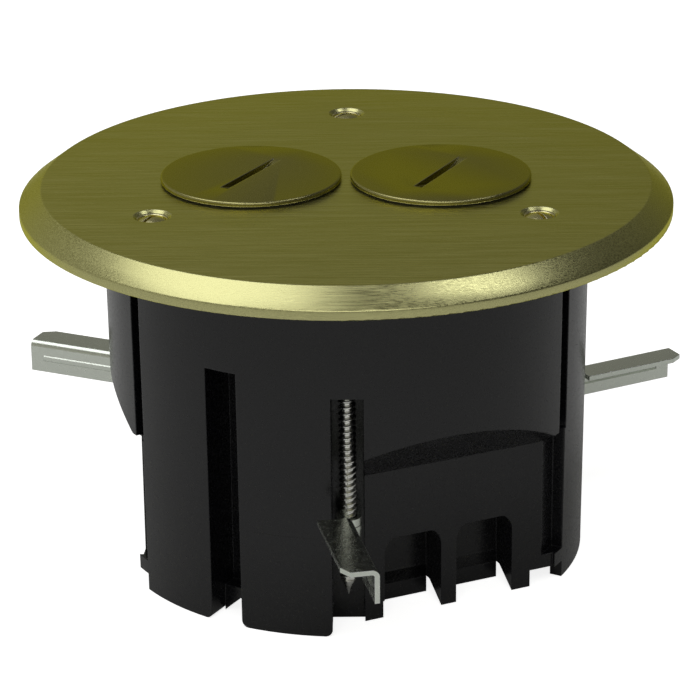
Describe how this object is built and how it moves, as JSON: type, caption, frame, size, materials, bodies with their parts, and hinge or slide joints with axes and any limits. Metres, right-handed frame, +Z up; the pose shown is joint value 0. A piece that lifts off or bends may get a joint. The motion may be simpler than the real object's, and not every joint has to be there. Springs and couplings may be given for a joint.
{
  "type": "floor socket box",
  "caption": "Round brass duplex floor socket cover with screw plugs on a moulded drop-in box that grips the floor with swing clamps.",
  "frame": {"origin": "centre of the cover plate's underside, which is the finished floor", "axes": "+Z up out of the floor along the box's axis, +X along the pair of screw plugs"},
  "size_m": [0.1437, 0.1477, 0.0813],
  "materials": {
    "brass_plate": "brushed satin, clear",
    "brass_plug": "turned satin",
    "brass_screw": "satin",
    "seal_rubber": "matt",
    "gasket": "matt",
    "box_plastic": "moulded, semi-gloss",
    "clamp_zinc": "zinc plated",
    "screw_zinc": "zinc plated",
    "face_nylon": "semi-gloss",
    "base_nylon": "moulded",
    "yoke_steel": "zinc plated",
    "contact_brass": "plain",
    "earth_green": "dyed green"
  },
  "bodies": {
    "floor_box": {"cover_plate": "brass_plate", "cover_gasket": "gasket", "box_flange": "box_plastic", "box_body": "box_plastic", "box_base": "box_plastic", "cover_screw_back": "brass_screw", "cover_screw_left": "brass_screw", "cover_screw_right": "brass_screw", "receptacle_face": "face_nylon", "receptacle_base": "base_nylon", "receptacle_yoke": "yoke_steel", "neutral_contact": "contact_brass", "neutral_terminal_screws": "screw_zinc", "line_contact": "contact_brass", "line_terminal_screws": "contact_brass", "earth_screw": "earth_green", "yoke_screws": "screw_zinc"},
    "left_plug_seal": {"plug_seal_left": "seal_rubber"},
    "left_plug": {"plug_left": "brass_plug"},
    "right_plug_seal": {"plug_seal_right": "seal_rubber"},
    "right_plug": {"plug_right": "brass_plug"},
    "front_clamp_screw": {"clamp_screw_front": "screw_zinc"},
    "front_clamp_arm": {"clamp_arm_front": "clamp_zinc"},
    "left_clamp_screw": {"clamp_screw_left": "screw_zinc"},
    "left_clamp_arm": {"clamp_arm_left": "clamp_zinc"},
    "right_clamp_screw": {"clamp_screw_right": "screw_zinc"},
    "right_clamp_arm": {"clamp_arm_right": "clamp_zinc"}
  },
  "joints": [
    {"name": "left_plug_lift", "type": "slide", "parent": "floor_box", "child": "left_plug_seal", "axis": [0, 0, 1], "range_m": [0, 0.0075]},
    {"name": "left_plug_turn", "type": "hinge", "parent": "left_plug_seal", "child": "left_plug", "pos_m": [-0.01945, 0, 0.0054], "axis": [0, 0, 1], "range_deg": [0, 1800]},
    {"name": "right_plug_lift", "type": "slide", "parent": "floor_box", "child": "right_plug_seal", "axis": [0, 0, 1], "range_m": [0, 0.0075]},
    {"name": "right_plug_turn", "type": "hinge", "parent": "right_plug_seal", "child": "right_plug", "pos_m": [0.01945, 0, 0.0054], "axis": [0, 0, 1], "range_deg": [0, 1800]},
    {"name": "front_clamp_swing", "type": "hinge", "parent": "floor_box", "child": "front_clamp_screw", "pos_m": [0, -0.0455, -0.03], "axis": [0, 0, 1], "range_deg": [-18.1, 105.7]},
    {"name": "front_clamp_climb", "type": "slide", "parent": "front_clamp_screw", "child": "front_clamp_arm", "axis": [0, 0, -1], "range_m": [-0.0227, 0.0063]},
    {"name": "left_clamp_swing", "type": "hinge", "parent": "floor_box", "child": "left_clamp_screw", "pos_m": [-0.0394, 0.02275, -0.03], "axis": [0, 0, 1], "range_deg": [-12.6, 111.2]},
    {"name": "left_clamp_climb", "type": "slide", "parent": "left_clamp_screw", "child": "left_clamp_arm", "axis": [0, 0, -1], "range_m": [-0.022, 0.007]},
    {"name": "right_clamp_swing", "type": "hinge", "parent": "floor_box", "child": "right_clamp_screw", "pos_m": [0.0394, 0.02275, -0.03], "axis": [0, 0, 1], "range_deg": [-3.5, 120.3]},
    {"name": "right_clamp_climb", "type": "slide", "parent": "right_clamp_screw", "child": "right_clamp_arm", "axis": [0, 0, -1], "range_m": [-0.0246, 0.0044]}
  ],
  "couplings": [
    {"joint": "left_plug_lift", "follows": "left_plug_turn", "m_per_rad": 0.00023873},
    {"joint": "right_plug_lift", "follows": "right_plug_turn", "m_per_rad": 0.00023873}
  ]
}
